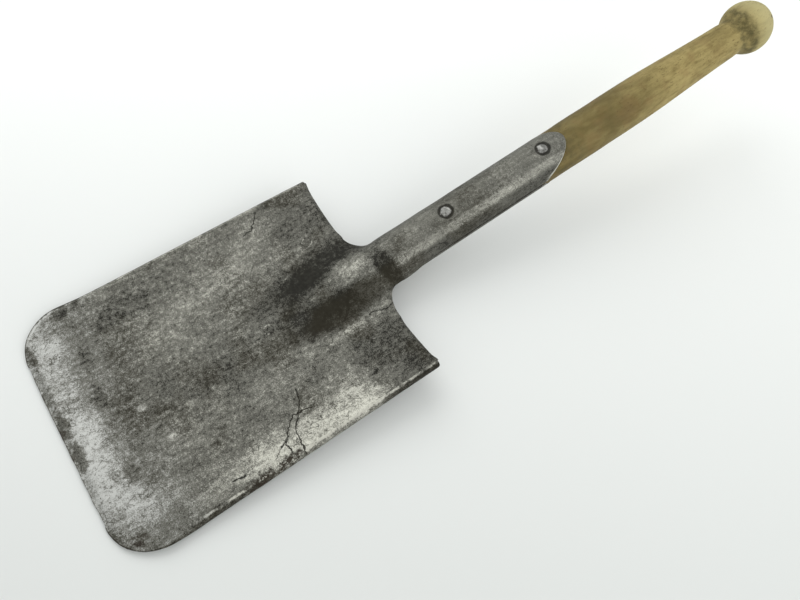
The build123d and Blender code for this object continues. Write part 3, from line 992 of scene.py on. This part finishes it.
def wood_radius(x):
    """Radius of the handle at station x, from its nose inside the frog to the knob."""
    if x < NOSE[-1][0]:
        return float(np.interp(x, *zip(*NOSE)))
    if x < GRIP_END:
        return GRIP_RADIUS - 0.2 + 0.2 * ease((x - 330.0) / 12.0)
    if x < WAIST:
        run = WAIST - GRIP_END
        return hermite((x - GRIP_END) / run, GRIP_RADIUS, WAIST_RADIUS, 0.0, run * WAIST_TAPER)
    if x < CHEEK:
        run = CHEEK - WAIST
        knob_slope = -cos(KNOB_CHEEK) / sin(KNOB_CHEEK)
        return hermite((x - WAIST) / run, WAIST_RADIUS, KNOB_RADIUS * sin(KNOB_CHEEK),
                       run * WAIST_TAPER, run * knob_slope)
    return sqrt(max(0.0, KNOB_RADIUS ** 2 - (x - KNOB_CENTRE) ** 2))


def under_strap(x, angle):
    """How far inside a strap's outline a point of the handle lies, in millimetres."""
    front = abs((angle + pi) % (2.0 * pi) - pi) < pi / 2.0
    if front:
        tip, length, side = TONGUE_TIP, TONGUE_LENGTH, TONGUE_SIDE
    else:
        tip, length, side = REAR_TONGUE_TIP, REAR_TONGUE_LENGTH, STRAP_OUTER + 1.0
    reach = sqrt(max(0.0, 1.0 - (STRAP_OUTER * sin(angle) / side) ** 2))
    return tip - length + length * reach - x


def handle_point(x, angle):
    """Point of the wood, sunk under the straps and a little uneven from the lathe."""
    r = wood_radius(x)
    if NOSE[-1][0] - 5.0 < x < GRIP_START:
        sunk = ease(under_strap(x, angle) - 0.3)
        r = r * (1.0 - sunk) + SOCKET_WOOD * sunk
    rough = 0.16 * wobble((x * 0.4, 10 * cos(angle), 10 * sin(angle)), 9.0, 1.5)
    rough += 0.05 * wobble((x * 0.3, 12 * cos(angle), 12 * sin(angle)), 2.5, 7.5)
    fade = ease((r - 2.0) / 8.0) * (ease((x - 334.0) / 12.0) * 0.9 + 0.1)
    return on_strap(x, angle, max(0.01, r + rough * fade))


def handle():
    """The whole wooden handle, with its rings closest together beside the tongue."""
    stations = list(np.linspace(NOSE[0][0], 290.0, 50)) + list(np.linspace(291.0, GRIP_START, 62))
    stations += list(np.linspace(341.5, WAIST, 88)) + list(np.linspace(WAIST + 1.0, CHEEK, 12))
    stations += [KNOB_CENTRE + KNOB_RADIUS * cos(a)
                 for a in np.linspace(radians(124.0), radians(2.5), 44)]
    points, faces = lathe(stations, 96, handle_point)
    mesh_piece("handle_wood", points, faces, bare_wood, "handle")


handle()


def dome(radius, rise, rho):
    """Height of a round head of the given radius and rise, at rho from its middle."""
    ball = (radius ** 2 + rise ** 2) / (2.0 * rise)
    return rise - ball + sqrt(max(0.0, ball ** 2 - rho ** 2))


def peened_head(facets, rho, angle):
    """Height of a hammered rivet head at rho, angle: a dome cut by flat facets."""
    cuts = [level - rho * cos(angle - turn) * lean for lean, turn, level in facets]
    return max(0.0, min([dome(SOCKET_HEAD, SOCKET_HEAD_RISE, rho)] + cuts))


def socket_rivet(name, station, seed):
    """Rivet through the socket, with a peened head in front and a tail behind."""
    dice = random.Random(seed)
    facets = {end: [(dice.uniform(0.25, 0.60), dice.uniform(0.0, 2.0 * pi),
                     dice.uniform(0.90, 1.35)) for _ in range(5)] for end in ("top", "tail")}
    base = STRAP_OUTER - DIMPLE_DEPTH
    steps = [0.02, 0.12, 0.24, 0.36, 0.48, 0.60, 0.70, 0.80, 0.89, 0.96, 1.0]
    rings = [("top", s) for s in steps] + [("shank", base - 0.3), ("shank", 0.0)]
    rings += [("shank", 0.3 - base)] + [("tail", s) for s in reversed(steps)]

    def place(ring, angle):
        kind, value = ring
        if kind == "shank":
            rho, height = SOCKET_SHANK, value
        else:
            uneven = 1.0 + 0.05 * wobble((cos(angle), sin(angle), seed), 0.8, 2.0)
            rho = SOCKET_HEAD * value * uneven
            height = base + peened_head(facets[kind], rho, angle)
        up = -height if kind == "tail" else height
        return on_axis(station + rho * cos(angle), rho * sin(angle), up)

    points, faces = lathe(rings, 40, place)
    mesh_piece(name + "_peened", points, faces, rivet_steel, name, smooth=False)


def frog_rivet(name, x, y, seed):
    """Flush rivet of the frog: its front follows the blade, its tail is a low dome behind."""
    # the tail sits where the CAD rivet's does
    low = (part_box(name)[0].z - SHIFT.z) / MM
    seat = (low - sin(LEAN) * x) / cos(LEAN) + FROG_TAIL_RISE
    back = digging_face(x, y) - 2.0 * SHEET
    steps = [0.05, 0.25, 0.45, 0.65, 0.82, 0.95, 1.0]
    rings = [("face", s) for s in steps] + [("rim", 1.0), ("shank", 1.0), ("seat", 1.0)]
    rings += [("tail", s) for s in reversed(steps)]
    radii = {"face": FROG_HEAD, "rim": FROG_HEAD, "shank": FROG_SHANK,
             "seat": FROG_TAIL, "tail": FROG_TAIL}

    def place(ring, angle):
        kind, share = ring
        rho = radii[kind] * share
        px, py = x + rho * cos(angle), y + rho * sin(angle)
        if kind == "face":
            z = digging_face(px, py)
            uneven = beaten((px, py, z)) + 0.05 * wobble((px, py, seed), 1.6, 3.0)
            z += uneven + 0.07 * (1.0 - share ** 4) - dented(px, py)
        elif kind == "rim":
            z = digging_face(px, py) - 0.8
        elif kind == "shank":
            z = back
        elif kind == "seat":
            z = seat + 0.3
        else:
            z = seat - dome(FROG_TAIL, FROG_TAIL_RISE, rho)
        return np.array((px, py, z))

    points, faces = lathe(rings, 32, place)
    mesh_piece(name + "_flush", points, faces, steel, name)


for number, (rivet_name, rivet_x) in enumerate(SOCKET_RIVETS.items()):
    socket_rivet(rivet_name, rivet_x, 11 + number)
for number, (rivet_name, (rivet_x, rivet_y)) in enumerate(FROG_RIVETS.items()):
    frog_rivet(rivet_name, rivet_x, rivet_y, 31 + number)

# The rear strap keeps its CAD shape and takes the worn steel with its painted highlights and shade.
strap = frame["nodes"]["rear_strap"]
strap.data.materials.clear()
strap.data.materials.append(steel)


# ---- stage, light and camera

STAGE_HALF = 3.0              # half the sheet's width, and its height behind
STAGE_CURVE_START = 2.0       # metres behind the shovel
STAGE_CURVE_RADIUS = 0.8


def floor_material():
    """Matte pale card with painted light: a little lighter towards the far and right-hand side."""
    p = Paint("floor_card")
    cloud = p.noise(240.0, 2.0, 0.5, seed=1.0)
    painted_light_falloff = 0.53 + p.x * 0.00078 + p.y * 0.00125 + cloud * 0.06
    tone = p.mix(painted_light_falloff, colour(0.51, 0.53, 0.515), colour(0.91, 0.925, 0.915))
    tooth = p.noise(1.2, 2.0, 0.5, seed=0.0)
    return p.finish(tone, 0.85, p.bump(tooth, 0.01), 0.0)


def stage():
    """Wide pale sheet that curves up behind the shovel."""
    start, radius = STAGE_CURVE_START, STAGE_CURVE_RADIUS
    curve = [(start + radius * sin(a), radius * (1.0 - cos(a)))
             for a in np.linspace(0.0, pi / 2.0, 24)]
    profile = [(-STAGE_HALF, 0.0), (start, 0.0), *curve, (start + radius, STAGE_HALF)]
    count = len(profile)
    points = [(x, y, z) for x in (-STAGE_HALF, STAGE_HALF) for y, z in profile]
    faces = [[i, i + count, i + count + 1, i + 1] for i in range(count - 1)]
    mesh = bpy.data.meshes.new("floor")
    mesh.from_pydata(points, [], faces)
    mesh.shade_smooth()
    mesh.materials.append(floor_material())
    floor = bpy.data.objects.new("floor", mesh)
    bpy.context.scene.collection.objects.link(floor)


stage()

# Soft lights aimed at the shovel: place in metres, diameter and power
LIGHTS = {
    "key": ((0.02, 0.90, 0.95), 1.2, 6.8),
    "fill": ((0.9, -0.3, 1.1), 1.2, 2.2),
    "near": ((0.15, -1.0, 0.5), 1.3, 5.0),
}

for light_name, (place, size, power) in LIGHTS.items():
    light = bpy.data.lights.new(light_name, "AREA")
    light.shape = "DISK"
    light.size = size
    light.energy = power
    lamp = bpy.data.objects.new(light_name, light)
    lamp.location = place
    lamp.rotation_euler = (-Vector(place)).to_track_quat("-Z", "Y").to_euler()
    bpy.context.scene.collection.objects.link(lamp)

world = bpy.data.worlds.new("white room")
world.use_nodes = True
backdrop = world.node_tree.nodes["Background"]
backdrop.inputs["Color"].default_value = (0.985, 1.0, 0.985, 1.0)
backdrop.inputs["Strength"].default_value = 0.70
bpy.context.scene.world = world
bpy.context.scene.view_settings.view_transform = "Standard"

# Camera: close over the near cutting corner, rolled a little.
CAMERA_PLACE = Vector((-0.19910, -0.17296, 0.37134))
CAMERA_VIEW = Vector((0.34636, 0.35799, -0.86711)).normalized()
CAMERA_ROLL = radians(11.044)
CAMERA_LENS = 31.77
SENSOR_WIDTH = 36.0

level_right = CAMERA_VIEW.cross(Vector((0, 0, 1))).normalized()
level_up = level_right.cross(CAMERA_VIEW)
right = level_right * cos(CAMERA_ROLL) + level_up * sin(CAMERA_ROLL)
up = level_up * cos(CAMERA_ROLL) - level_right * sin(CAMERA_ROLL)
camera_data = bpy.data.cameras.new("camera")
camera_data.lens = CAMERA_LENS
camera_data.sensor_width = SENSOR_WIDTH
camera_data.clip_start = 0.01
camera_data.clip_end = 20.0
camera = bpy.data.objects.new("camera", camera_data)
camera.matrix_world = Matrix((
    (right.x, up.x, -CAMERA_VIEW.x, CAMERA_PLACE.x),
    (right.y, up.y, -CAMERA_VIEW.y, CAMERA_PLACE.y),
    (right.z, up.z, -CAMERA_VIEW.z, CAMERA_PLACE.z),
    (0.0, 0.0, 0.0, 1.0)))
bpy.context.scene.collection.objects.link(camera)
bpy.context.scene.camera = camera
